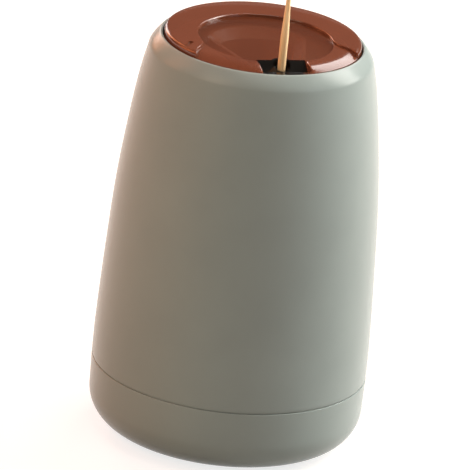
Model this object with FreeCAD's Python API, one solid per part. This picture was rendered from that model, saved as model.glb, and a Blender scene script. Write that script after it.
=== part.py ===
import FreeCAD, Part
import math
import os

# Press-top toothpick dispenser. Lengths are in millimetres and angles in degrees.
# The base stands on Z = 0, the exit hole is on the -Y side, and the lid is pressed down along -Z.

# Toothpick: the standard round pick that sets the height of everything above the base
pick_length = 65.0
pick_radius = 1.0
pick_taper = 15.0
pick_point_radius = 0.3

# Stack of heights, from the table up to the lid
foot_stand = 0.5
base_floor = 2.2
chassis_lift = 1.8
chassis_thick = 2.0
stop_rib_height = 1.2
press_margin = 0.3
stroke = 26.0
floor_thick = 2.6
tip_drop = 0.4
pick_headroom = 0.7
guide_thick = 3.55
lid_stand_proud = 0.65

# Clearances
snug = 0.05
rest_gap = 0.1
slide_gap = 0.3
lid_gap = 0.4
overrun = 1.0
edge_break = 0.3

# Shell: tapering outer form, with the shares of its taper at shares of its height
shell_flare = 6.56
shell_wall = 2.0
seam_height = 17.9
seam_round = 0.45
rim_slope_drop = 3.7
rim_slope_width = 2.64
rim_edge_angle = 46.0
rim_flat = 0.25
mouth_round = 0.3
collar_depth = 8.0
collar_chamfer = 2.4
taper_height_shares = (0.0, 0.124, 0.346, 0.573, 0.774, 0.908, 1.0)
taper_width_shares = (0.0, 0.0133, 0.116, 0.271, 0.5305, 0.7626, 1.0)

# Base cup
base_corner_radius = 9.2
base_inner_corner = 7.0
spigot_height = 4.6
spigot_wall = 1.6
spigot_root = 5.4
bead_height = 1.0
bead_lift = 2.2
bead_proud = 0.25
base_seat_thick = 1.32

# Foot ring under the base
foot_ring_inset = 1.2
foot_ring_width = 7.2
foot_ring_round = 0.3
foot_recess = 0.8

# Screws: pan heads on plain shanks
screw_shank_radius = 1.2
screw_clear_radius = 1.4
screw_head_radius = 2.2
screw_head_height = 1.3
screw_head_round = 0.5
screw_recess_radius = 0.9
screw_recess_depth = 0.7
screw_boss_radius = 2.6
screw_end_room = 0.6
screws_per_ring = 3
base_screw_angle = 60.0
barrel_screw_angle = 0.0

# Chassis plate
chassis_edge_gap = 0.9
base_boss_height = 5.0
rod_boss_radius = 3.0
rod_boss_height = 1.1
locating_lip = 1.6
locating_lip_wall = 0.8

# Guide barrel
barrel_wall = 1.4
barrel_head_room = 12.2
barrel_boss_height = 10.0
barrel_boss_inset = 2.4
slot_width = 4.4
lug_width = 3.8
lug_height = 8.0
lug_top_share = 0.53
lug_bite = 1.1
fin_angle = 30.0

# Return spring: conical, so that its turns nest when it is pressed flat
spring_wire = 1.2
spring_boss_gap = 2.0
spring_small_radius = 5.0
spring_turns = 4.75
spring_dead_turns = 0.75
spring_steps_per_turn = 8
spring_places_per_turn = 40
spring_turn_step = 0.001
spring_rib_wall = 1.2
spring_spigot_height = 1.0

# Ejector
rod_radius = 0.9
tip_radius = 1.2
tip_length = 3.0
tip_cup_depth = 0.7
tip_socket_depth = 1.8
ejector_hole_radius = 1.5

# Hopper bin: a fan in plan that narrows to the pick groove
fan_front_width = 7.4
fan_front_length = 2.9
fan_throat_length = 1.3
fan_half_angle = 15.8
fan_back_margin = 5.5
fan_back_offset = 1.7
fan_corner_radius = 4.6
bin_wall = 1.6
lead_in = 2.3
lead_in_rim = 1.0
mouth_upstand = 2.0
flange_thick = 1.6
flange_margin = 0.4
snap_ring_wall = 1.4
snap_ring_height = 1.8
fin_thick = 1.8
fin_top_room = 1.2
floor_rise = 1.2
floor_plate_gap = 0.6
floor_boss_radius = 2.0
floor_boss_height = 9.5
floor_boss_inset = 2.4
floor_boss_length = 10.0
floor_boss_offset = 3.37

# Lid
lid_radius = 24.85
lid_thick = 1.9
lid_skirt_wall = 1.6
dish_margin = 7.85
dish_shift = 2.3
lip_rise = 0.25
lip_drop = 0.75
lip_slope_width = 4.25
lip_end_round = 0.3
crescent_rise = 0.8
crescent_round = 0.3
crescent_rim_round = 0.9
crescent_root_angle = 4.0
crescent_end_angle = 35.2
notch_inset = 2.55
notch_angle = 71.7
notch_turn = 33.0
notch_length = 4.0
notch_width = 1.3
notch_depth = 0.45

# Exit guide, the black block in the lid's front, and the bush in it
hole_inset = 6.95
block_width = 12.4
block_back_length = 3.3
window_back_length = 1.3
ramp_length = 3.6
ramp_drop = 1.85
hole_wall = 0.55
funnel_radius = 2.2
funnel_height = 0.4
funnel_ledge = 0.3
bush_radius = 2.6
bush_height = 1.0
bush_bore_radius = 1.08
bush_lead_depth = 0.5

# Heights worked out from the stack
base_floor_top = foot_stand + base_floor
chassis_bottom = base_floor_top + chassis_lift
chassis_top = chassis_bottom + chassis_thick
stop_rib_top = chassis_top + stop_rib_height
floor_bottom = stop_rib_top + press_margin + stroke
floor_top = floor_bottom + floor_thick
tip_top = floor_top - tip_drop
guide_bottom = floor_top + pick_length + pick_headroom
lid_dish_top = guide_bottom + guide_thick
shell_height = lid_dish_top - lid_stand_proud
lid_dish_bottom = lid_dish_top - lid_thick
flange_top = guide_bottom - pick_headroom
flange_bottom = flange_top - flange_thick
skirt_bottom = flange_top + rest_gap
barrel_top = shell_height - barrel_head_room
pick_bottom = tip_top + stroke + press_margin + rest_gap * 2
taper_end_height = shell_height - rim_slope_drop
lip_top = lid_dish_top + lip_rise
crescent_top = lid_dish_top + crescent_rise
ramp_low = lid_dish_top - ramp_drop
head_seat = chassis_bottom - base_seat_thick

# Radii worked out from the lid outwards
mouth_radius = lid_radius + lid_gap
rim_radius = mouth_radius + mouth_round + rim_flat
taper_end_radius = rim_radius + rim_slope_width
shell_radius = taper_end_radius + shell_flare
side_radius = shell_radius - rest_gap * 2
cup_inner_radius = side_radius - base_floor
foot_outer = shell_radius - base_corner_radius - foot_ring_inset
foot_inner = foot_outer - foot_ring_width
base_screw_ring = foot_inner + screw_boss_radius
dish_radius = lid_radius - dish_margin
skirt_inner = lid_radius - lid_skirt_wall

# Distances in plan from the axis towards the exit hole, and back from it
hole_distance = lid_radius - hole_inset
block_distance = hole_distance - block_back_length
window_distance = hole_distance - window_back_length
ramp_distance = window_distance + ramp_length
collar_radius = funnel_radius + hole_wall
spring_large_radius = hole_distance - rod_boss_radius - spring_boss_gap
floor_plate_radius = foot_inner - floor_plate_gap
fan_front_distance = hole_distance - fan_front_length
fan_throat_distance = hole_distance - fan_throat_length
fan_back_distance = floor_plate_radius - fan_back_margin
fan_back_radius = fan_back_distance + fan_back_offset

axis_point = FreeCAD.Vector(0, 0, 0)
up = FreeCAD.Vector(0, 0, 1)
ring_step = 360 / screws_per_ring
front_angle = 270
near_zero = 0.000001


def point(x, y, z):
    return FreeCAD.Vector(x, y, z)


def polar(radius, angle, z):
    turn = math.radians(angle)
    return point(radius * math.cos(turn), radius * math.sin(turn), z)


def disc(radius, low, high, centre=axis_point):
    base = point(centre.x, centre.y, low)
    return Part.makeCylinder(radius, high - low, base, up)


def tube(outer, inner, low, high, centre=axis_point):
    return disc(outer, low, high, centre).cut(disc(inner, low - overrun, high + overrun, centre))


def block(x_low, x_high, y_low, y_high, z_low, z_high):
    corner = point(x_low, y_low, z_low)
    return Part.makeBox(x_high - x_low, y_high - y_low, z_high - z_low, corner)


def cone(radius_low, radius_high, low, high, centre=axis_point):
    base = point(centre.x, centre.y, low)
    return Part.makeCone(radius_low, radius_high, high - low, base, up)


def revolve(edges):
    face = Part.Face(Part.Wire(edges))
    return face.revolve(axis_point, up, 360)


def line(start, end):
    return Part.LineSegment(start, end).toShape()


def outline(points):
    corners = [point(r, 0, z) for r, z in points]
    return Part.makePolygon(corners + corners[:1]).Edges


def round_edge(start, end, centre):
    """Quarter circle from the start to the end about a centre."""
    out = ((start + end) * 0.5 - centre).normalize()
    middle = centre + out * start.distanceToPoint(centre)
    return Part.Arc(start, middle, end).toShape()


def export(name, shape):
    if not shape.isValid():
        raise ValueError(name + " is not a valid solid")
    kept = shape.Solids[0] if len(shape.Solids) == 1 else shape
    kept.exportStep("parts/" + name + ".step")
    box = kept.BoundBox
    print(name, len(kept.Solids), round(kept.Volume, 1), round(box.ZMin, 2), round(box.ZMax, 2))


def ring_angles(first):
    return [first + ring_step * i for i in range(screws_per_ring)]


# Outer form of shell and base

def taper_points(inset):
    """Points of the shell's outer line, from the seam up to the rim, moved in by the inset."""
    tall = taper_end_height - seam_height
    wide = shell_radius - taper_end_radius
    pairs = zip(taper_height_shares, taper_width_shares)
    return [point(shell_radius - wide * w - inset, 0, seam_height + tall * h) for h, w in pairs]


def taper_radius_at(height):
    """Radius of the shell's outer line at a height, along the chords between its points."""
    points = taper_points(0)
    for low, high in zip(points, points[1:]):
        if height <= high.z:
            share = (height - low.z) / (high.z - low.z)
            return low.x + (high.x - low.x) * share
    return points[-1].x


def taper_curve(inset, low, high):
    """Edge along the taper between two heights."""
    curve = Part.BSplineCurve()
    curve.interpolate(taper_points(inset))
    ends = []
    for height in (low, high):
        level = Part.LineSegment(point(0, 0, height), point(shell_radius * 2, 0, height))
        ends.append(curve.parameter(curve.intersect(level)[0].toShape().Point))
    return curve.toShape(ends[0], ends[1])


spigot_radius = shell_radius - shell_wall - slide_gap / 2
barrel_outer = taper_radius_at(barrel_top) - shell_wall - slide_gap / 2
barrel_inner = barrel_outer - barrel_wall
fin_radius = barrel_inner - slide_gap
barrel_screw_ring = barrel_inner - barrel_boss_inset
flange_radius = lid_radius - flange_margin
pick_place = point(0, -hole_distance, 0)


def outer_shell():
    collar_low = shell_height - collar_depth
    skirt = seam_height + seam_round
    outer = taper_curve(0, skirt, taper_end_height - rest_gap)
    inner = taper_curve(shell_wall, skirt, collar_low - collar_chamfer)
    out_low = outer.valueAt(outer.FirstParameter)
    out_high = outer.valueAt(outer.LastParameter)
    in_low = inner.valueAt(inner.FirstParameter)
    in_high = inner.valueAt(inner.LastParameter)
    rim = point(rim_radius, 0, shell_height)
    turn = math.radians(rim_edge_angle)
    rim_heading = point(-math.cos(turn), 0, math.sin(turn))
    mouth_top = point(mouth_radius + mouth_round, 0, shell_height)
    mouth_side = point(mouth_radius, 0, shell_height - mouth_round)
    mouth_centre = point(mouth_top.x, 0, mouth_side.z)
    collar_end = point(mouth_radius, 0, collar_low)
    foot_out = point(out_low.x - seam_round, 0, seam_height)
    foot_centre = point(foot_out.x, 0, skirt)
    foot_in = point(in_low.x, 0, seam_height)
    edges = [
        outer,
        *biarc(out_high, outer.tangentAt(outer.LastParameter), rim, rim_heading),
        line(rim, mouth_top),
        round_edge(mouth_top, mouth_side, mouth_centre),
        line(mouth_side, collar_end),
        line(collar_end, in_high),
        inner,
        line(in_low, foot_in),
        line(foot_in, foot_out),
        round_edge(foot_out, out_low, foot_centre),
    ]
    shell = revolve(Part.__sortEdges__(edges))
    groove_radius = spigot_radius + bead_proud + slide_gap
    groove_low = seam_height + bead_lift - rest_gap
    groove_high = groove_low + bead_height + rest_gap * 2
    return shell.cut(tube(groove_radius, spigot_radius - spigot_wall, groove_low, groove_high))


def base_cup():
    side = foot_stand + base_corner_radius
    corner_start = point(side_radius - base_corner_radius, 0, foot_stand)
    corner_centre = point(corner_start.x, 0, side)
    corner_end = point(side_radius, 0, side)
    lip_centre = point(shell_radius - seam_round, 0, seam_height - seam_round)
    lip_low = point(shell_radius, 0, lip_centre.z)
    lip_high = point(lip_centre.x, 0, seam_height)
    spigot_top = seam_height + spigot_height
    spigot_inner = spigot_radius - spigot_wall
    bead_low = seam_height + bead_lift
    bead_high = bead_low + bead_height
    inner_start = point(cup_inner_radius, 0, base_floor_top + base_inner_corner)
    inner_end = point(cup_inner_radius - base_inner_corner, 0, base_floor_top)
    inner_centre = point(inner_end.x, 0, inner_start.z)
    axis_low = point(0, 0, foot_stand)
    axis_high = point(0, 0, base_floor_top)
    spigot = [
        lip_high,
        point(spigot_radius, 0, seam_height),
        point(spigot_radius, 0, bead_low),
        point(spigot_radius + bead_proud, 0, bead_low + edge_break),
        point(spigot_radius + bead_proud, 0, bead_high - edge_break),
        point(spigot_radius, 0, bead_high),
        point(spigot_radius, 0, spigot_top - edge_break),
        point(spigot_radius - edge_break, 0, spigot_top),
        point(spigot_inner, 0, spigot_top),
        point(spigot_inner, 0, seam_height - spigot_root),
        inner_start,
    ]
    edges = [
        line(axis_low, corner_start),
        round_edge(corner_start, corner_end, corner_centre),
        line(corner_end, lip_low),
        round_edge(lip_low, lip_high, lip_centre),
        *Part.makePolygon(spigot).Edges,
        round_edge(inner_start, inner_end, inner_centre),
        line(inner_end, axis_high),
        line(axis_high, axis_low),
    ]
    cup = revolve(Part.__sortEdges__(edges))
    places = [polar(base_screw_ring, a, 0) for a in ring_angles(base_screw_angle)]
    boss_radius = screw_boss_radius + edge_break
    for place in places:
        cup = cup.fuse(disc(boss_radius, base_floor_top - edge_break, chassis_bottom, place))
    recess_top = foot_stand + foot_recess
    cup = cup.cut(tube(foot_outer + snug, foot_inner - snug, foot_stand - overrun, recess_top))
    for place in places:
        cup = cup.cut(disc(screw_head_radius + snug, foot_stand, head_seat, place))
        cup = cup.cut(disc(screw_clear_radius, foot_stand, chassis_bottom + overrun, place))
    return cup.removeSplitter()


def foot_ring():
    ring = tube(foot_outer, foot_inner, 0, foot_stand + foot_recess - snug)
    edges = [e for e in ring.Edges if abs(e.BoundBox.ZMax) < snug]
    return ring.makeFillet(foot_ring_round, edges)


def screw(place, seat, length, head_side):
    """Pan-head screw: its head starts at the seat, and head_side is -1 where the head is below."""
    far = seat - head_side * length
    shank = disc(screw_shank_radius, min(seat, far), max(seat, far), place)
    head_end = seat + head_side * screw_head_height
    head = disc(screw_head_radius, min(seat, head_end), max(seat, head_end), place)
    rim = [e for e in head.Edges if e.Closed and abs(e.BoundBox.ZMax - head_end) < snug]
    head = head.makeFillet(screw_head_round, rim)
    bite = head_end - head_side * screw_recess_depth
    open_end = head_end + head_side * overrun
    socket = disc(screw_recess_radius, min(bite, open_end), max(bite, open_end), place)
    return shank.fuse(head).cut(socket).removeSplitter()


def base_screws():
    length = chassis_top + base_boss_height - screw_end_room - head_seat
    places = [polar(base_screw_ring, a, 0) for a in ring_angles(base_screw_angle)]
    return Part.makeCompound([screw(place, head_seat, length, -1) for place in places])


def barrel_screws():
    length = chassis_thick + barrel_boss_height - screw_end_room
    places = [polar(barrel_screw_ring, a, 0) for a in ring_angles(barrel_screw_angle)]
    return Part.makeCompound([screw(place, chassis_bottom, length, -1) for place in places])


def floor_screws():
    seat = floor_bottom + screw_head_height
    length = floor_thick - screw_head_height + floor_boss_height - screw_end_room
    return Part.makeCompound([screw(place, seat, length, -1) for place in floor_boss_places()])


def chassis_radius():
    """The plate stops short of the cup's curved inner corner at the plate's underside."""
    drop = base_floor_top + base_inner_corner - chassis_bottom
    bulge = math.sqrt(max(base_inner_corner ** 2 - drop ** 2, 0))
    return cup_inner_radius - base_inner_corner + bulge - chassis_edge_gap


def chassis_plate():
    edge = chassis_radius()
    root = chassis_top - edge_break
    below = chassis_bottom - overrun
    plate = disc(edge, chassis_bottom, chassis_top)
    lip_inner = barrel_outer + snug
    if edge - lip_inner > locating_lip_wall / 2:
        plate = plate.fuse(tube(edge, lip_inner, root, chassis_top + locating_lip))
    rib_inner = spring_large_radius + spring_wire / 2 + slide_gap
    plate = plate.fuse(tube(rib_inner + spring_rib_wall, rib_inner, root, stop_rib_top))
    boss_high = chassis_top + base_boss_height
    places = [polar(base_screw_ring, a, 0) for a in ring_angles(base_screw_angle)]
    for place in places:
        plate = plate.fuse(disc(screw_boss_radius, root, boss_high, place))
    rod_low = base_floor_top + rest_gap
    rod_high = chassis_top + rod_boss_height
    plate = plate.fuse(disc(rod_boss_radius, rod_low, rod_high, pick_place))
    for place in places:
        plate = plate.cut(disc(screw_shank_radius, below, boss_high - edge_break, place))
    for angle in ring_angles(barrel_screw_angle):
        place = polar(barrel_screw_ring, angle, 0)
        plate = plate.cut(disc(screw_clear_radius, below, chassis_top + overrun, place))
    plate = plate.cut(disc(rod_radius, rod_low + edge_break, rod_high + overrun, pick_place))
    return plate.removeSplitter()


def lug_top():
    return chassis_top + (shell_height - chassis_top) * lug_top_share


def guide_barrel():
    barrel = tube(barrel_outer, barrel_inner, chassis_top, barrel_top)
    boss_high = chassis_top + barrel_boss_height
    web_length = barrel_inner + barrel_wall / 2 - barrel_screw_ring
    for angle in ring_angles(barrel_screw_angle):
        place = polar(barrel_screw_ring, angle, 0)
        boss = disc(screw_boss_radius - edge_break, chassis_top, boss_high, place)
        web = block(0, web_length, -screw_shank_radius, screw_shank_radius, chassis_top, boss_high)
        web.rotate(axis_point, up, angle)
        web.translate(place)
        hole = disc(screw_shank_radius, chassis_top - overrun, boss_high - edge_break, place)
        barrel = barrel.fuse(boss.fuse(web).cut(hole))
    half = slot_width / 2
    slot_high = lug_top() + press_margin
    for angle in ring_angles(fin_angle):
        slot = block(barrel_inner - barrel_wall, barrel_outer + overrun, -half, half, 0, slot_high)
        slot.rotate(axis_point, up, angle)
        barrel = barrel.cut(slot)
    return barrel.removeSplitter()


def ejector_rod():
    low = base_floor_top + rest_gap + edge_break
    high = tip_top - tip_length + tip_socket_depth
    rod = disc(rod_radius, low, high, pick_place)
    return rod.makeChamfer(edge_break / 2, [e for e in rod.Edges if e.Closed])


def ejector_tip():
    low = tip_top - tip_length
    tip = disc(tip_radius, low, tip_top, pick_place)
    cup = cone(pick_point_radius, tip_radius - edge_break / 2, tip_top - tip_cup_depth, tip_top, pick_place)
    socket = disc(rod_radius, low - overrun, low + tip_socket_depth, pick_place)
    return tip.cut(cup).cut(socket)


# Return spring

def spring_point(turns):
    share = turns / spring_turns
    radius = spring_large_radius + (spring_small_radius - spring_large_radius) * share
    live = (turns - spring_dead_turns) / (spring_turns - 2 * spring_dead_turns)
    live = min(max(live, 0), 1)
    low = chassis_top + spring_wire / 2
    high = floor_bottom - spring_wire / 2 - slide_gap
    climb = live * live * (3 - 2 * live)
    return polar(radius, 360 * turns, low + (high - low) * climb)


def spring_heading(turns):
    ahead = spring_point(min(turns + spring_turn_step, spring_turns))
    behind = spring_point(max(turns - spring_turn_step, 0))
    return (ahead - behind).normalize()


def arc_from(start, heading, end):
    """Arc that leaves the start along the heading and ends at the end."""
    chord = end - start
    angle = heading.getAngle(chord)
    side = heading - chord * (heading.dot(chord) / chord.dot(chord))
    middle = (start + end) * 0.5
    if side.Length < near_zero:
        return Part.LineSegment(start, end)
    middle = middle + side.normalize() * (chord.Length / 2 * math.tan(angle / 2))
    return Part.Arc(start, middle, end)


def biarc(start, heading, end, last_heading):
    """Two arcs that share a tangent, and take the start's and the end's headings."""
    span = end - start
    total = heading + last_heading
    spare = 2 * (1 - heading.dot(last_heading))
    along = span.dot(total)
    if spare < near_zero:
        reach = span.dot(span) / (2 * along)
    else:
        reach = (math.sqrt(along ** 2 + spare * span.dot(span)) - along) / spare
    knee = (start + end + (heading - last_heading) * reach) * 0.5
    first = arc_from(start, heading, knee)
    second = arc_from(end, last_heading * -1, knee)
    return [first.toShape(), second.toShape()]


def return_spring():
    steps = round(spring_turns * spring_steps_per_turn)
    edges = []
    for i in range(steps):
        a = spring_turns * i / steps
        b = spring_turns * (i + 1) / steps
        edges += biarc(spring_point(a), spring_heading(a), spring_point(b), spring_heading(b))
    path = Part.Wire(Part.__sortEdges__(edges))
    ring = Part.Wire(Part.makeCircle(spring_wire / 2, spring_point(0), spring_heading(0)))
    coil = path.makePipeShell([ring], True, False)
    even = math.pi * (spring_wire / 2) ** 2 * path.Length
    print("spring: share of an even wire", round(coil.Volume / even, 4))
    print("spring: least gap", round(spring_least_gap(), 2))
    return coil


def spring_least_gap():
    """Least gap between the wire and itself, from points at least half a turn apart."""
    count = int(spring_turns * spring_places_per_turn) + 1
    places = [spring_point(i / spring_places_per_turn) for i in range(count)]
    apart = spring_places_per_turn // 2
    least = spring_large_radius
    for i, place in enumerate(places):
        for other in places[i + apart:]:
            least = min(least, place.distanceToPoint(other) - spring_wire)
    return least


# Hopper

def fan_prism(low, high):
    """The bin's inside as a prism: a rounded back, straight sides, a throat and the pick groove."""
    slant = math.tan(math.radians(fan_half_angle))
    back_centre = fan_back_distance - fan_back_radius
    rise = back_centre + fan_front_distance
    half = fan_front_width / 2
    a = slant ** 2 + 1
    b = half * slant - rise
    c = half ** 2 + rise ** 2 - fan_back_radius ** 2
    run = (math.sqrt(b ** 2 - a * c) - b) / a
    side_x = half + run * slant
    side_y = run - fan_front_distance
    groove = ejector_hole_radius
    right = [
        point(groove, -hole_distance, low),
        point(groove, -fan_throat_distance, low),
        point(half, -fan_front_distance, low),
        point(side_x, side_y, low),
    ]
    left = [point(-p.x, p.y, p.z) for p in reversed(right)]
    back = Part.Arc(right[-1], point(0, fan_back_distance, low), left[0])
    front = Part.Arc(left[-1], point(0, -hole_distance - groove, low), right[0])
    edges = Part.makePolygon(right).Edges + [back.toShape()] + Part.makePolygon(left).Edges
    edges.append(front.toShape())
    prism = Part.Face(Part.Wire(edges)).extrude(up * (high - low))
    upright = [e for e in prism.Edges if e.BoundBox.ZLength > high - low - snug]
    corners = [e for e in upright if e.BoundBox.YMin > side_y - snug]
    return prism.makeFillet(fan_corner_radius, corners)


def fan_wire(grow, level):
    prism = fan_prism(level, level + overrun)
    low_face = min(prism.Faces, key=lambda f: f.CenterOfMass.z)
    wire = low_face.OuterWire
    return wire.makeOffset2D(grow) if grow else wire


def fan_solid(grow, low, high):
    return Part.Face(fan_wire(grow, low)).extrude(up * (high - low))


def floor_boss_places():
    """One boss behind the bin and one beside each of its sloping sides."""
    back = floor_plate_radius - floor_boss_inset
    slant = math.tan(math.radians(fan_half_angle))
    side = fan_front_width / 2 + floor_boss_length * slant + floor_boss_offset
    front = floor_boss_length - fan_front_distance
    return [point(0, back, 0), point(-side, front, 0), point(side, front, 0)]


def hopper_bin():
    lip_high = flange_top + mouth_upstand
    above = lip_high + overrun
    root = flange_top - edge_break
    body = fan_solid(bin_wall, floor_top, flange_top)
    body = body.fuse(disc(flange_radius, flange_bottom, flange_top))
    lip = fan_solid(lead_in + lead_in_rim, root, lip_high)
    front = -block_distance + slide_gap
    clear_front = block(-lid_radius, lid_radius, -lid_radius - overrun, front, flange_top, above)
    body = body.fuse(lip.cut(clear_front))
    ring_outer = skirt_inner - lid_gap
    ring = tube(ring_outer, ring_outer - snap_ring_wall, root, flange_top + snap_ring_height)
    gap = block_width / 2 + overrun
    body = body.fuse(ring.cut(block(-gap, gap, -lid_radius, 0, flange_top, above)))
    half_fin = fin_thick / 2
    half_lug = lug_width / 2
    fin_high = barrel_top - fin_top_room
    lug_low = lug_top() - lug_height
    lug_out = fin_radius + lug_bite
    for angle in ring_angles(fin_angle):
        fin = block(0, fin_radius, -half_fin, half_fin, floor_top, fin_high)
        fin.rotate(axis_point, up, angle)
        lug = block(fin_radius - bin_wall, lug_out, -half_lug, half_lug, lug_low, lug_top())
        lug.rotate(axis_point, up, angle)
        body = body.fuse(fin).fuse(lug)
    boss_high = floor_top + floor_boss_height
    for place in floor_boss_places():
        body = body.fuse(disc(floor_boss_radius, floor_top, boss_high, place))
    mouth = Part.makeLoft([fan_wire(0, lip_high - lead_in), fan_wire(lead_in, lip_high)], True, True)
    body = body.cut(fan_solid(0, floor_top - overrun, above)).cut(mouth.cut(clear_front))
    for place in floor_boss_places():
        body = body.cut(disc(screw_shank_radius, floor_top - overrun, boss_high - edge_break, place))
    return body.removeSplitter()


def hopper_floor():
    below = floor_bottom - overrun
    slope_high = floor_top + floor_rise
    above = slope_high + overrun
    front = -hole_distance - overrun
    back = fan_back_distance + overrun
    plate = disc(floor_plate_radius, floor_bottom, floor_top)
    plate = plate.fuse(fan_solid(bin_wall, floor_bottom, floor_top))
    ramp = fan_solid(-slide_gap, floor_top - edge_break, slope_high)
    wedge = Part.makePolygon([
        point(-floor_plate_radius, front, floor_top + snug),
        point(-floor_plate_radius, back, slope_high),
        point(-floor_plate_radius, back, above),
        point(-floor_plate_radius, front, above),
        point(-floor_plate_radius, front, floor_top + snug),
    ])
    cutter = Part.Face(wedge).extrude(point(floor_plate_radius * 2, 0, 0))
    plate = plate.fuse(ramp.cut(cutter))
    spigot = spring_small_radius - spring_wire / 2 - slide_gap
    plate = plate.fuse(disc(spigot, floor_bottom - spring_spigot_height, floor_bottom + edge_break))
    plate = plate.cut(disc(ejector_hole_radius, below, above, pick_place))
    seat = floor_bottom + screw_head_height
    for place in floor_boss_places():
        plate = plate.cut(disc(screw_clear_radius, below, above, place))
        plate = plate.cut(disc(screw_head_radius + snug, below, seat, place))
    return plate.removeSplitter()


# Lid

def crescent_face(level):
    """Plan of the raised crescent, run out past the lid's rim, with an S-shaped end on each side."""
    turn = math.radians(crescent_root_angle)
    root = point(dish_radius * math.cos(turn), -dish_radius * math.sin(turn) - dish_shift, level)
    root_heading = point(-math.sin(turn), -math.cos(turn), 0)
    end = polar(lid_radius + overrun, -crescent_end_angle, level)
    half = biarc(root, root_heading, end, point(0, -1, 0))
    other_half = [edge.mirror(axis_point, point(1, 0, 0)) for edge in half]
    far_back = point(0, lid_radius + overrun, level)
    rim = Part.Arc(end, far_back, point(-end.x, end.y, level)).toShape()
    back = point(0, dish_radius - dish_shift, level)
    dish = Part.Arc(root, back, point(-root.x, root.y, level)).toShape()
    edges = half + other_half + [rim, dish]
    return Part.Face(Part.Wire(Part.__sortEdges__(edges)))


def crescent():
    """Raised crescent, with a fine round along the dish and a wide one along the lid's rim."""
    low = (lid_dish_bottom + lid_dish_top) / 2
    body = crescent_face(low).extrude(up * (crescent_top - low))
    top_edges = [e for e in body.Edges if e.BoundBox.ZMin > crescent_top - snug]
    inner = [e for e in top_edges if middle_radius(e) < lid_radius]
    limit = disc(lid_radius, low - overrun, crescent_top)
    rim = [e for e in limit.Edges if e.Closed and e.BoundBox.ZMin > crescent_top - snug]
    return body.makeFillet(crescent_round, inner).common(limit.makeFillet(crescent_rim_round, rim))


def middle_radius(edge):
    middle = edge.valueAt((edge.FirstParameter + edge.LastParameter) / 2)
    return math.hypot(middle.x, middle.y)


def lip_cutter():
    """Ring above the lid's lip: its underside curves down from the flat of the lip to the rim."""
    fall = lip_rise + lip_drop
    radius = (lip_slope_width ** 2 + fall ** 2) / (fall * 2)
    inner = lid_radius - lip_slope_width
    turn = math.asin((lip_slope_width + overrun) / radius)
    start = point(inner, 0, lip_top)
    middle = start + point(radius * math.sin(turn / 2), 0, radius * (math.cos(turn / 2) - 1))
    end = start + point(radius * math.sin(turn), 0, radius * (math.cos(turn) - 1))
    above = lip_top + overrun
    corners = [end, point(end.x, 0, above), point(inner, 0, above), start]
    edges = [Part.Arc(start, middle, end).toShape()] + Part.makePolygon(corners).Edges
    return revolve(Part.__sortEdges__(edges))


def lid_body(window_half, window_inner):
    """Lid without its crescent: skirt, dish and curving lip, with rounded ends at the exit window."""
    body = disc(lid_radius, skirt_bottom, lip_top)
    body = body.cut(disc(skirt_inner, skirt_bottom - overrun, lid_dish_bottom))
    body = body.cut(lip_cutter())
    low = skirt_bottom - overrun
    high = lip_top + overrun
    front = -lid_radius - overrun
    body = body.cut(block(-window_half, window_half, front, window_inner, low, high))
    lowest = lid_dish_top - lip_drop - snug
    ends = [e for e in body.Edges if e.BoundBox.ZMin > lowest and e.BoundBox.XLength < snug
            and abs(abs(e.BoundBox.XMin) - window_half) < snug and e.BoundBox.YLength > snug]
    body = body.makeFillet(lip_end_round, ends)
    dish_centre = point(0, -dish_shift, 0)
    return body.cut(disc(dish_radius, lid_dish_top, high, dish_centre))


def nail_notch():
    low = crescent_top - notch_depth
    high = crescent_top + overrun
    half_width = notch_width / 2
    half = notch_length / 2 - half_width
    notch = block(-half_width, half_width, -half, half, low, high)
    for end in (-half, half):
        notch = notch.fuse(disc(half_width, low, high, point(0, end, 0)))
    notch.rotate(axis_point, up, -notch_turn)
    notch.translate(polar(lid_radius - notch_inset, front_angle - notch_angle, 0))
    return notch


def lid_cover():
    lid = lid_body(block_width / 2 + rest_gap, rest_gap - window_distance)
    lid = lid.fuse(crescent()).removeSplitter()
    hole_radius = collar_radius + rest_gap
    lid = lid.cut(disc(hole_radius, skirt_bottom - overrun, crescent_top, pick_place))
    return lid.cut(nail_notch())


def exit_guide():
    half = block_width / 2
    front = -lid_radius - overrun
    ledge_top = lid_dish_bottom - rest_gap
    body = block(-half, half, front, -block_distance, guide_bottom, ledge_top)
    body = body.fuse(block(-half, half, front, -window_distance, guide_bottom, lid_dish_top))
    body = body.common(disc(lid_radius, guide_bottom, lid_dish_top))
    body = body.fuse(disc(collar_radius, guide_bottom, lid_dish_top, pick_place))
    skirt = tube(lid_radius, skirt_inner, skirt_bottom, guide_bottom + edge_break)
    body = body.fuse(skirt.common(block(-half, half, front, 0, skirt_bottom, lid_dish_top)))
    above = lid_dish_top + overrun
    ramp = Part.makePolygon([
        point(-half - overrun, -window_distance, lid_dish_top),
        point(-half - overrun, -ramp_distance, ramp_low),
        point(-half - overrun, front, ramp_low),
        point(-half - overrun, front, above),
        point(-half - overrun, -window_distance, above),
        point(-half - overrun, -window_distance, lid_dish_top),
    ])
    body = body.cut(Part.Face(ramp).extrude(point(block_width + overrun * 2, 0, 0)))
    pocket_high = guide_bottom + bush_height + snug
    funnel_low = pocket_high + funnel_ledge
    funnel_high = funnel_low + funnel_height
    body = body.cut(disc(bush_radius + snug, guide_bottom - overrun, pocket_high, pick_place))
    body = body.cut(disc(ejector_hole_radius, guide_bottom, funnel_high, pick_place))
    body = body.cut(cone(ejector_hole_radius, funnel_radius, funnel_low, funnel_high, pick_place))
    return body.cut(disc(funnel_radius, funnel_high, above, pick_place)).removeSplitter()


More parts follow.
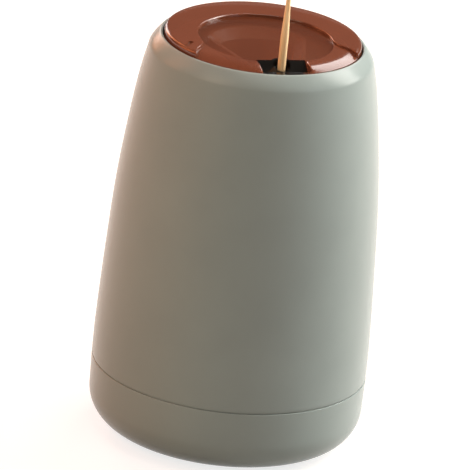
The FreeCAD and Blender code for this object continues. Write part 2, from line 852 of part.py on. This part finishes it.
def exit_bush():
    low = guide_bottom - overrun
    high = guide_bottom + bush_height
    lead_radius = bush_radius - edge_break * 2
    lead_high = guide_bottom + bush_lead_depth
    bush = disc(bush_radius, guide_bottom, high, pick_place)
    bush = bush.cut(disc(bush_bore_radius, low, high + overrun, pick_place))
    return bush.cut(cone(lead_radius, bush_bore_radius, guide_bottom, lead_high, pick_place))


def toothpick():
    high = pick_bottom + pick_length
    points = [
        (0, pick_bottom),
        (pick_point_radius, pick_bottom),
        (pick_radius, pick_bottom + pick_taper),
        (pick_radius, high - pick_taper),
        (pick_point_radius, high),
        (0, high),
    ]
    pick = revolve(outline(points))
    pick.translate(pick_place)
    return pick


os.makedirs("parts", exist_ok=True)
pieces = {
    "outer_shell": outer_shell,
    "base_cup": base_cup,
    "foot_ring": foot_ring,
    "base_screws": base_screws,
    "chassis_plate": chassis_plate,
    "barrel_screws": barrel_screws,
    "guide_barrel": guide_barrel,
    "ejector_rod": ejector_rod,
    "ejector_tip": ejector_tip,
    "return_spring": return_spring,
    "hopper_bin": hopper_bin,
    "hopper_floor": hopper_floor,
    "floor_screws": floor_screws,
    "lid_cover": lid_cover,
    "exit_guide": exit_guide,
    "exit_bush": exit_bush,
    "toothpick": toothpick,
}
for name, make in pieces.items():
    export(name, make())
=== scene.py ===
import math

import bmesh
import bpy
from mathutils import Matrix, Vector


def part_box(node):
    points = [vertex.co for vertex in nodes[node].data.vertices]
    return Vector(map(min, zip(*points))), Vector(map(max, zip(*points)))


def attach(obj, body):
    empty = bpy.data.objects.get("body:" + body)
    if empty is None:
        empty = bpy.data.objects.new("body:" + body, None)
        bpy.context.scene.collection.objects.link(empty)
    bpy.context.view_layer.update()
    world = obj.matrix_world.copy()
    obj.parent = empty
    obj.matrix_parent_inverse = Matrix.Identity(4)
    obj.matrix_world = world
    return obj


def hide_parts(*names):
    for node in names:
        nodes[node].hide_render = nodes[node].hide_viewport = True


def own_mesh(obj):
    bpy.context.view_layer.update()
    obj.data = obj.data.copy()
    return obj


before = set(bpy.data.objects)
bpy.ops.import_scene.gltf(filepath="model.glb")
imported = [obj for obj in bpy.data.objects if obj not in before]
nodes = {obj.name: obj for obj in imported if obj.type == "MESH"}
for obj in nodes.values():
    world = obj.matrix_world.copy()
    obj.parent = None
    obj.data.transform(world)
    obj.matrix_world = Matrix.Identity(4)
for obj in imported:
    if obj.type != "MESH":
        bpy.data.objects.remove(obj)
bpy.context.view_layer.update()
scene = bpy.context.scene
MM = 0.001


# Camera
# The dispenser is seen from a little above, from the front left, through a long lens, and the
# picture is tilted a few degrees. The exit hole is on the -Y side, and the camera is left of it.

camera_azimuth = math.radians(-17.0)
camera_elevation = math.radians(20.66)
camera_roll = math.radians(6.04)
camera_distance = 2170 * MM
camera_lens = 657.9
aim_height = 50 * MM
aim_right = -1.86 * MM
aim_up = 2.23 * MM

back = Vector((
    math.sin(camera_azimuth) * math.cos(camera_elevation),
    -math.cos(camera_azimuth) * math.cos(camera_elevation),
    math.sin(camera_elevation),
))
right = Vector((math.cos(camera_azimuth), math.sin(camera_azimuth), 0))
above = back.cross(right)
aim = Vector((0, 0, aim_height)) + right * aim_right + above * aim_up
rolled_right = right * math.cos(camera_roll) + above * math.sin(camera_roll)
rolled_above = above * math.cos(camera_roll) - right * math.sin(camera_roll)
turn = Matrix((rolled_right, rolled_above, back)).transposed().to_4x4()
lens = bpy.data.cameras.new("photo_camera")
lens.sensor_width = 36
lens.lens = camera_lens
lens.clip_end = 20
camera = bpy.data.objects.new("photo_camera", lens)
camera.matrix_world = Matrix.Translation(aim + back * camera_distance) @ turn
scene.collection.objects.link(camera)
scene.camera = camera


# Floor, lamps and surrounding light
# The dispenser stands on a plain white floor. A broad soft lamp on the right gives the pale side of
# the shell, warm ones on the left edge it with orange, and soft ones fill in from above and behind.

floor_reach = 2.4
floor_level = -0.02 * MM
floor_colour = (0.34, 0.31, 0.28, 1)
floor_roughness = 0.7
floor_glow = 0.77
surround_colour = (1.0, 0.93, 0.86, 1)
surround_strength = 0.12

scene.view_settings.view_transform = "Standard"


def new_material(name):
    """New material, with its node tree and the shader of its surface."""
    material = bpy.data.materials.new(name)
    material.use_nodes = True
    tree = material.node_tree
    return material, tree, tree.nodes["Principled BSDF"]


def seen_directly(tree):
    """One for a ray from the camera or from a gloss reflection, and otherwise zero."""
    path = tree.nodes.new("ShaderNodeLightPath")
    either = tree.nodes.new("ShaderNodeMath")
    either.operation = "MAXIMUM"
    tree.links.new(path.outputs["Is Camera Ray"], either.inputs[0])
    tree.links.new(path.outputs["Is Glossy Ray"], either.inputs[1])
    return either.outputs[0]


floor_mesh = bmesh.new()
bmesh.ops.create_grid(floor_mesh, x_segments=8, y_segments=8, size=floor_reach,
                      matrix=Matrix.Translation((0, 0, floor_level)))
floor_data = bpy.data.meshes.new("white_floor")
floor_mesh.to_mesh(floor_data)
floor_mesh.free()
floor = bpy.data.objects.new("white_floor", floor_data)
scene.collection.objects.link(floor)
floor_paint, tree, shader = new_material("white_floor")
shader.inputs["Base Color"].default_value = floor_colour
shader.inputs["Roughness"].default_value = floor_roughness
shader.inputs["Emission Color"].default_value = (1, 1, 1, 1)
glow = tree.nodes.new("ShaderNodeMath")
glow.operation = "MULTIPLY"
glow.inputs[1].default_value = floor_glow
tree.links.new(seen_directly(tree), glow.inputs[0])
tree.links.new(glow.outputs[0], shader.inputs["Emission Strength"])
floor_data.materials.append(floor_paint)

world = bpy.data.worlds.new("studio")
world.use_nodes = True
scene.world = world
surround = world.node_tree.nodes["Background"]
surround.inputs["Color"].default_value = surround_colour
surround.inputs["Strength"].default_value = surround_strength


def lamp(name, side, height, distance, width, tall, power, colour):
    """Soft square lamp that shines on the dispenser, its side given in degrees from the camera."""
    angle = camera_azimuth + math.radians(side)
    place = Vector((math.sin(angle) * distance, -math.cos(angle) * distance, height))
    light = bpy.data.lights.new(name, "AREA")
    light.shape = "RECTANGLE"
    light.size = width
    light.size_y = tall
    light.energy = power
    light.color = colour
    holder = bpy.data.objects.new(name, light)
    towards = Vector((0, 0, aim_height)) - place
    facing = towards.to_track_quat("-Z", "Y").to_matrix().to_4x4()
    holder.matrix_world = Matrix.Translation(place) @ facing
    scene.collection.objects.link(holder)


# Side in degrees, height, distance, width and length in metres, power in watts, colour.
lamp("key_right", 106, 0.52, 0.75, 0.36, 0.70, 11.8, (1.0, 0.97, 0.91))
lamp("front_right", 58, 0.40, 0.95, 0.30, 0.50, 0.8, (0.60, 0.75, 1.0))
lamp("front_left", -48, 0.60, 0.85, 0.45, 0.60, 3.8, (1.0, 0.77, 0.56))
lamp("warm_left", -100, 0.45, 0.75, 0.30, 0.60, 2.2, (1.0, 0.28, 0.10))
lamp("edge_left", -143, 0.40, 0.75, 0.30, 0.60, 2.4, (1.0, 0.34, 0.14))
lamp("back_right", 142, 0.60, 0.62, 0.75, 0.35, 4.8, (1.0, 0.98, 0.96))
lamp("over_top", 10, 1.10, 0.20, 0.60, 0.60, 3.2, (1.0, 0.97, 0.94))
lamp("soft_back", 206, 0.30, 0.80, 0.30, 0.30, 1.2, (1.0, 0.97, 0.94))


# Base cup
# The lower cup is moulded in satin-gloss sage-grey ABS. Its spigot snaps into the shell, a broad
# rounding takes it under to the foot ring, and a fine lip along its top edge catches the light.

base_low, base_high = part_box("base_cup")
shell_low, shell_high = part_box("outer_shell")
_, foot_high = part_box("foot_ring")
shell_radius = shell_high.x
shell_wall = 2.0 * MM
seam_height = shell_low.z
seam_round = 0.45 * MM
lip_round = 0.20 * MM
base_lean = 0.2 * MM
base_radius = shell_radius - base_lean
base_corner = 9.2 * MM
base_floor = 2.2 * MM
base_inner_corner = 7.0 * MM
spigot_gap = 0.15 * MM
spigot_wall = 1.6 * MM
spigot_root = 5.4 * MM
spigot_radius = shell_radius - shell_wall - spigot_gap
foot_hole = 17.4 * MM
recess_gap = 0.05 * MM
recess_inner = foot_hole - recess_gap
recess_outer = foot_high.x + recess_gap
recess_top = foot_high.z + recess_gap
round_steps = 192
moulded_sharp = 32
same_point = 0.004 * MM
sage_colour = (0.276, 0.318, 0.302)
skin_depth = 0.02 * MM


def round_corner(start, corner, end, steps):
    """Points of a rounded corner between two ends."""
    found = []
    for i in range(steps + 1):
        t = i / steps
        found.append(start * (1 - t) ** 2 + corner * 2 * t * (1 - t) + end * t ** 2)
    return found


def arc(centre, radius, start, end, steps):
    """Points of an arc, its angles in degrees from the outward direction."""
    found = []
    for i in range(steps + 1):
        angle = math.radians(start + (end - start) * i / steps)
        found.append(centre + Vector((math.cos(angle), math.sin(angle))) * radius)
    return found


def spun(name, outline, closed=True, steps=round_steps, sharp=moulded_sharp):
    """Object made by spinning an outline of (radius, height) points about the dispenser's axis."""
    form = bmesh.new()
    corners = [form.verts.new((p[0], 0, p[1])) for p in outline]
    pairs = list(zip(corners, corners[1:]))
    if closed:
        pairs.append((corners[-1], corners[0]))
    edges = [form.edges.new(pair) for pair in pairs]
    bmesh.ops.spin(form, geom=corners + edges, cent=(0, 0, 0), axis=(0, 0, 1),
                   angle=math.tau, steps=steps, use_merge=True, use_duplicate=False)
    bmesh.ops.remove_doubles(form, verts=form.verts, dist=same_point)
    bmesh.ops.recalc_face_normals(form, faces=form.faces)
    return finished(name, form, sharp)


def finished(name, form, sharp):
    """Turns a bmesh into a smooth-shaded object whose edges above an angle stay sharp."""
    for face in form.faces:
        face.smooth = True
    for edge in form.edges:
        edge.smooth = len(edge.link_faces) == 2 and edge.calc_face_angle(0) < math.radians(sharp)
    data = bpy.data.meshes.new(name)
    form.to_mesh(data)
    form.free()
    piece = bpy.data.objects.new(name, data)
    scene.collection.objects.link(piece)
    return piece


corner_centre = Vector((base_radius - base_corner, base_low.z + base_corner))
inner_centre = Vector((base_radius - base_floor - base_inner_corner,
                       base_low.z + base_floor + base_inner_corner))
lip_side = Vector((shell_radius, seam_height - lip_round))
lip_corner = Vector((shell_radius, seam_height))
lip_top = Vector((shell_radius - lip_round, seam_height))
spigot_inner = spigot_radius - spigot_wall
outline = [Vector((0, base_low.z)), Vector((recess_inner, base_low.z))]
outline += [Vector((recess_inner, recess_top)), Vector((recess_outer, recess_top))]
outline += [Vector((recess_outer, base_low.z))]
outline += arc(corner_centre, base_corner, start=-90, end=0, steps=20)
outline += round_corner(lip_side, lip_corner, lip_top, steps=5)
outline += [Vector((spigot_radius, seam_height)), Vector((spigot_radius, base_high.z))]
outline += [Vector((spigot_inner, base_high.z)), Vector((spigot_inner, seam_height - spigot_root))]
outline += arc(inner_centre, base_inner_corner, start=0, end=-90, steps=10)
outline += [Vector((0, base_low.z + base_floor))]
base = spun("base_body", outline, closed=False)


def own_place(tree):
    """Coordinates of the piece itself, so that its texture moves with it."""
    return tree.nodes.new("ShaderNodeTexCoord").outputs["Object"]


def noise(tree, place, scale, detail):
    """Value that wanders over the surface."""
    texture = tree.nodes.new("ShaderNodeTexNoise")
    texture.inputs["Scale"].default_value = scale
    texture.inputs["Detail"].default_value = detail
    tree.links.new(place, texture.inputs["Vector"])
    return texture.outputs["Fac"]


def shade(tree, value, dark, light, start, end):
    """Runs the surface's colour from dark to light between two values of a texture."""
    shades = tree.nodes.new("ShaderNodeValToRGB")
    shades.color_ramp.elements[0].position = start
    shades.color_ramp.elements[0].color = [*dark, 1]
    shades.color_ramp.elements[1].position = end
    shades.color_ramp.elements[1].color = [*light, 1]
    tree.links.new(value, shades.inputs["Fac"])
    tree.links.new(shades.outputs["Color"], tree.nodes["Principled BSDF"].inputs["Base Color"])


def roughen(tree, value, strength, depth):
    """Raises and sinks the surface a little with a texture's value."""
    bump = tree.nodes.new("ShaderNodeBump")
    bump.inputs["Strength"].default_value = strength
    bump.inputs["Distance"].default_value = depth
    tree.links.new(value, bump.inputs["Height"])
    tree.links.new(bump.outputs["Normal"], tree.nodes["Principled BSDF"].inputs["Normal"])


def gloss_plastic(name, colour, roughness, shine, peel):
    """Moulded plastic: faint colour drift and a fine skin texture under an even gloss."""
    material, tree, shader = new_material(name)
    place = own_place(tree)
    darker = [c * 0.965 for c in colour]
    lighter = [c * 1.03 for c in colour]
    shade(tree, noise(tree, place, scale=55, detail=3), darker, lighter, start=0.3, end=0.7)
    roughen(tree, noise(tree, place, scale=900, detail=2), peel, skin_depth)
    shader.inputs["Roughness"].default_value = roughness
    shader.inputs["Specular IOR Level"].default_value = shine
    return material


sage = gloss_plastic("sage_gloss", sage_colour, roughness=0.26, shine=0.16, peel=0.15)
base.data.materials.append(sage)
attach(base, "housing")
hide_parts("base_cup")


# Chassis plate and guide sleeve
# Both are moulded in natural grey plastic and left unpainted, because they are never seen in use.
# The sleeve stands on the plate inside the shell, and its three slots guide the bin's fins.


def finish_node(node, material):
    """Gives a CAD node, kept as it is, the material of the real piece."""
    nodes[node].data.materials.clear()
    nodes[node].data.materials.append(material)


grey_colour = (0.42, 0.42, 0.40)
natural_grey = gloss_plastic("natural_grey", grey_colour, roughness=0.5, shine=0.5, peel=0.5)
finish_node("chassis_plate", natural_grey)
finish_node("guide_barrel", natural_grey)


# Screws and ejector rod
# The plated pan-head screws hold the sleeve and the base to the plate. The rod is ground steel,
# pressed into a boss on the plate, and stands under the exit hole.


def bright_steel(name, colour, roughness):
    """Bare or plated steel with a fine grain from the die or the grinding wheel."""
    material, tree, shader = new_material(name)
    grain = noise(tree, own_place(tree), scale=600, detail=2)
    roughen(tree, grain, strength=0.2, depth=skin_depth)
    shader.inputs["Base Color"].default_value = [*colour, 1]
    shader.inputs["Metallic"].default_value = 1
    shader.inputs["Roughness"].default_value = roughness
    return material


plated = bright_steel("plated_screw", (0.60, 0.60, 0.58), roughness=0.30)
ground_steel = bright_steel("ground_steel", (0.56, 0.57, 0.60), roughness=0.18)
finish_node("barrel_screws", plated)
finish_node("base_screws", plated)
finish_node("ejector_rod", ground_steel)


# Ejector tip
# A small cup of slippery white acetal is pressed over the end of the rod, under the exit hole. The
# bin sinks round it when the lid is pressed, and it holds up the one toothpick in the groove.

white_colour = (0.72, 0.70, 0.66)
slippery_white = gloss_plastic("slippery_white", white_colour, roughness=0.4, shine=0.5, peel=0.3)
finish_node("ejector_tip", slippery_white)


# Return spring
# A conical spring wound from drawn steel wire, its large end in the plate and its small end under
# the bin. Its turns nest one inside the next, so that the press flattens it to a few millimetres.

cad_same_point = 0.002 * MM
cad_sharp = 38


def merged_form(node):
    """Mesh of a CAD node with the doubled corners of its triangles merged."""
    form = bmesh.new()
    form.from_mesh(nodes[node].data)
    bmesh.ops.remove_doubles(form, verts=form.verts, dist=cad_same_point)
    return form


spring = finished("spring_coil", merged_form("return_spring"), cad_sharp)
spring.data.materials.append(bright_steel("spring_wire", (0.46, 0.46, 0.48), roughness=0.36))
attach(spring, "housing")
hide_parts("return_spring")
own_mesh(spring)


# Hopper bin
# The fan-shaped bin is moulded in one piece with its flange, fins and lugs, in brown plastic of the
# colour of the lid. Its open mouth shows through the lid as a darker fan.

brown_colour = (0.34, 0.115, 0.055)
bin_brown = gloss_plastic("bin_brown", brown_colour, roughness=0.42, shine=0.3, peel=0.5)
finish_node("hopper_bin", bin_brown)


# Hopper floor and its screws
# A plate of the same brown plastic closes the bin from below, sloping down to the pick groove.
# Three of the plated screws hold it, let into its underside so that the spring passes them.

finish_node("hopper_floor", bin_brown)
finish_node("floor_screws", plated)


# Foot ring
# A flat ring of soft black rubber, pressed into a groove in the base. It stands half a millimetre
# proud, keeps the dispenser from sliding when the lid is pressed, and hides the base screws.

rubber_colour = (0.02, 0.02, 0.02)
soft_black = gloss_plastic("soft_black", rubber_colour, roughness=0.75, shine=0.4, peel=0.8)
finish_node("foot_ring", soft_black)


# Outer shell
# One tapering moulding in the base's satin-gloss sage-grey ABS, 70 mm across, open at the top. Its
# shoulder draws in to a crisp rim round the mouth, and its lower edge is eased above the seam.

_, lid_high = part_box("lid_cover")
lid_gap = 0.4 * MM
mouth_radius = lid_high.x + lid_gap
mouth_round = 0.3 * MM
rim_flat = 0.25 * MM
rim_radius = mouth_radius + mouth_round + rim_flat
rim_slope_width = 2.64 * MM
rim_slope_drop = 3.7 * MM
rim_bend_in = 2.24 * MM
rim_bend_drop = 2.32 * MM
rim_edge_ease = 0.25 * MM
collar_depth = 8.0 * MM
collar_chamfer = 2.4 * MM
taper_height_shares = (0.0, 0.124, 0.346, 0.573, 0.774, 0.908, 1.0)
taper_width_shares = (0.0, 0.0133, 0.116, 0.271, 0.5305, 0.7626, 1.0)


def smooth_line(points, steps):
    """Points along a curve that passes smoothly through the given ones."""
    ends = [points[0] * 2 - points[1]] + points + [points[-1] * 2 - points[-2]]
    found = []
    for before, start, end, after in zip(ends, ends[1:], ends[2:], ends[3:]):
        for i in range(steps):
            t = i / steps
            leave = (end - before) * 0.5
            arrive = (after - start) * 0.5
            spot = start * (2 * t ** 3 - 3 * t ** 2 + 1) + leave * (t ** 3 - 2 * t ** 2 + t)
            found.append(spot + end * (3 * t ** 2 - 2 * t ** 3) + arrive * (t ** 3 - t ** 2))
    return found + [points[-1]]


def taper_points(inset):
    """Points of the shell's side from the seam to the shoulder, moved inwards by an inset."""
    tall = shell_high.z - rim_slope_drop - seam_height
    wide = shell_radius - rim_radius - rim_slope_width
    pairs = zip(taper_height_shares, taper_width_shares)
    return [Vector((shell_radius - wide * w - inset, seam_height + tall * h)) for h, w in pairs]


collar_end = shell_high.z - collar_depth
taper = [p for p in smooth_line(taper_points(0), steps=8) if p.y > seam_height + seam_round]
inner_taper = [p for p in smooth_line(taper_points(shell_wall), steps=4)
               if seam_height < p.y < collar_end - collar_chamfer]
foot = Vector((shell_radius - seam_round, seam_height))
foot_corner = Vector((shell_radius, seam_height))
rim_bend = Vector((rim_radius + rim_bend_in, shell_high.z - rim_bend_drop))
rim_edge = Vector((rim_radius, shell_high.z))
rim_out = rim_edge + (rim_bend - rim_edge).normalized() * rim_edge_ease
rim_in = rim_edge - Vector((rim_edge_ease, 0))
mouth_top = Vector((mouth_radius + mouth_round, shell_high.z))
mouth_corner = Vector((mouth_radius, shell_high.z))
mouth_side = Vector((mouth_radius, shell_high.z - mouth_round))
outline = round_corner(foot, foot_corner, taper[0], steps=5)[:-1]
outline += taper[:-1]
outline += round_corner(taper[-1], rim_bend, rim_out, steps=12)
outline += round_corner(rim_out, rim_edge, rim_in, steps=3)[1:]
outline += round_corner(mouth_top, mouth_corner, mouth_side, steps=5)
outline += [Vector((mouth_radius, collar_end))]
outline += list(reversed(inner_taper))
outline += [Vector((shell_radius - shell_wall, seam_height))]
shell = spun("shell_body", outline)
shell.data.materials.append(sage)
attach(shell, "housing")
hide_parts("outer_shell")


# Exit bush
# A ring of soft black rubber in the underside of the exit block. It grips the raised toothpick, so
# that the pick stands in the hole when the lid has come back up.

finish_node("exit_bush", soft_black)


# Exit block
# The block is moulded separately in gloss black and glued into the front of the lid. A thin collar
# runs round the exit hole, and its top slopes down in front of the hole to a flat at the rim.

block_ease = 0.08 * MM
flat_angle = 0.4
crisp_angle = 24
black_colour = (0.006, 0.005, 0.004)


def eased_copy(name, node, width):
    """Copy of a CAD node with eased edges, its triangles merged into evenly shaded flats."""
    form = merged_form(node)
    bmesh.ops.dissolve_limit(form, angle_limit=math.radians(flat_angle),
                             verts=form.verts, edges=form.edges)
    crisp = [e for e in form.edges if e.calc_face_angle(0) > math.radians(crisp_angle)]
    bmesh.ops.bevel(form, geom=crisp, offset=width, offset_type="OFFSET", affect="EDGES",
                    segments=2, profile=0.5, material=-1, clamp_overlap=True)
    piece = finished(name, form, cad_sharp)
    even = piece.modifiers.new("even_flats", "WEIGHTED_NORMAL")
    even.keep_sharp = True
    return piece


exit_block = eased_copy("exit_block", "exit_guide", block_ease)
gloss_black = gloss_plastic("gloss_black", black_colour, roughness=0.12, shine=0.4, peel=0.1)
exit_block.data.materials.append(gloss_black)
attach(exit_block, "lid")
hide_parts("exit_guide")


# Lid
# A polished see-through lid in tea-brown plastic. A raised crescent runs round its back, a shallow
# round dish lies inside it, and a low lip curves down to the front rim, either side of the block.

lid_ease = 0.06 * MM
tea_colour = (0.160, 0.043, 0.018)
rim_cover = 0.85
window_cover = 0.45
dish_low, dish_high = 105.8 * MM, 105.9 * MM
level_normal = 0.99


def tea_plastic(name, colour, cover):
    """See-through plastic of which each surface hides a part of what lies behind it."""
    material, tree, shader = new_material(name)
    drift = noise(tree, own_place(tree), scale=120, detail=2)
    darker = [c * 0.93 for c in colour]
    lighter = [c * 1.06 for c in colour]
    shade(tree, drift, darker, lighter, start=0, end=1)
    shader.inputs["Alpha"].default_value = cover
    shader.inputs["Roughness"].default_value = 0.15
    shader.inputs["Specular IOR Level"].default_value = 0.7
    return material


lid = eased_copy("lid_body", "lid_cover", lid_ease)
lid.data.materials.append(tea_plastic("tea_rim", tea_colour, rim_cover))
lid.data.materials.append(tea_plastic("tea_window", tea_colour, window_cover))
for face in lid.data.polygons:
    dish = face.normal.z > level_normal and dish_low < face.center.z < dish_high
    face.material_index = 1 if dish or face.normal.z < -level_normal else 0
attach(lid, "lid")
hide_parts("lid_cover")


# Toothpick
# A round pick turned from pale wood, 2 mm thick and 65 mm long, with a long taper at each end.
# Its grain runs along it, and its points are blunt.

pick_low, pick_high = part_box("toothpick")
pick_radius = (pick_high.x - pick_low.x) / 2
pick_centre = (pick_low + pick_high) * 0.5
pick_taper = 15 * MM
pick_point = 0.3 * MM
pick_end = pick_point * 0.7
pick_blunt = 0.15 * MM
pick_sharp = 50
pick_rings = 6
pick_ring_step = 5
dark_grain = (0.80, 0.46, 0.20)
pale_grain = (0.96, 0.72, 0.42)
grain_depth = 0.05 * MM

low_point = Vector((pick_point, pick_low.z + pick_blunt))
low_taper = Vector((pick_radius, pick_low.z + pick_taper))
high_taper = Vector((pick_radius, pick_high.z - pick_taper))
high_point = Vector((pick_point, pick_high.z - pick_blunt))
outline = [Vector((0, pick_low.z)), Vector((pick_end, pick_low.z))]
outline += smooth_line([low_point, low_taper], steps=6)
outline += [Vector((pick_radius, pick_low.z + pick_taper + MM * i * pick_ring_step))
            for i in range(1, pick_rings + 1)]
outline += smooth_line([high_taper, high_point], steps=6)
outline += [Vector((pick_end, pick_high.z)), Vector((0, pick_high.z))]
pick = spun("wooden_pick", outline, closed=False, steps=24, sharp=pick_sharp)
pick.data.transform(Matrix.Translation((pick_centre.x, pick_centre.y, 0)))


def pick_wood(name):
    """Pale wood with its grain drawn out along the pick."""
    material, tree, shader = new_material(name)
    stretch = tree.nodes.new("ShaderNodeMapping")
    stretch.inputs["Scale"].default_value = (2600, 2600, 60)
    tree.links.new(own_place(tree), stretch.inputs["Vector"])
    grain = noise(tree, stretch.outputs["Vector"], scale=1, detail=5)
    shade(tree, grain, dark_grain, pale_grain, start=0.3, end=0.7)
    roughen(tree, grain, strength=0.4, depth=grain_depth)
    shader.inputs["Roughness"].default_value = 0.55
    return material


pick.data.materials.append(pick_wood("pale_pick_wood"))
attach(pick, "toothpick")
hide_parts("toothpick")
